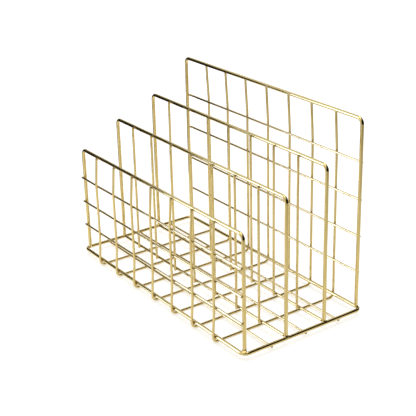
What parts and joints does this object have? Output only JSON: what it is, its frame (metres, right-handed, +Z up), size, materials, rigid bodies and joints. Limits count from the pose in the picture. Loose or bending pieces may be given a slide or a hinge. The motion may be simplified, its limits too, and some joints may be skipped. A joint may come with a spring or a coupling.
{
  "type": "desk sorter",
  "caption": "Welded-wire desk sorter in a pale gold finish: upright wire panels of rising height stand on a wire base and part it into open-ended slots for books and files.",
  "frame": {"origin": "middle of the base on the table, at the bottom centre of the part's box", "axes": "+X along the panels, to the right as seen from the low front panel; +Y from the front panel to the high back panel; +Z up"},
  "size_m": [0.31, 0.1591, 0.2125],
  "materials": {
    "frame_wire": "bright pale gold plating on thick drawn steel wire, glossy, with fine draw lines",
    "upright_wire": "bright pale gold plating on drawn steel wire, glossy, with fine draw lines",
    "thin_wire": "bright pale gold plating on thin drawn steel wire, glossy, with fine draw lines"
  },
  "bodies": {
    "root": {"base_ring": "frame_wire", "front_frame": "frame_wire", "divider_1_frame": "frame_wire", "divider_2_frame": "frame_wire", "back_frame": "frame_wire", "divider_1_rail": "frame_wire", "divider_2_rail": "frame_wire", "u_wire_1": "upright_wire", "u_wire_2": "upright_wire", "u_wire_3": "upright_wire", "u_wire_4": "upright_wire", "u_wire_5": "upright_wire", "u_wire_6": "upright_wire", "u_wire_7": "upright_wire", "divider_1_wire_1": "upright_wire", "divider_1_wire_2": "upright_wire", "divider_1_wire_3": "upright_wire", "divider_1_wire_4": "upright_wire", "divider_1_wire_5": "upright_wire", "divider_1_wire_6": "upright_wire", "divider_1_wire_7": "upright_wire", "divider_2_wire_1": "upright_wire", "divider_2_wire_2": "upright_wire", "divider_2_wire_3": "upright_wire", "divider_2_wire_4": "upright_wire", "divider_2_wire_5": "upright_wire", "divider_2_wire_6": "upright_wire", "divider_2_wire_7": "upright_wire", "base_wire_1": "thin_wire", "base_wire_2": "thin_wire", "base_wire_3": "thin_wire", "front_bar_1": "thin_wire", "front_bar_2": "thin_wire", "front_bar_3": "thin_wire", "back_bar_1": "thin_wire", "back_bar_2": "thin_wire", "back_bar_3": "thin_wire", "back_bar_4": "thin_wire"}
  },
  "joints": []
}
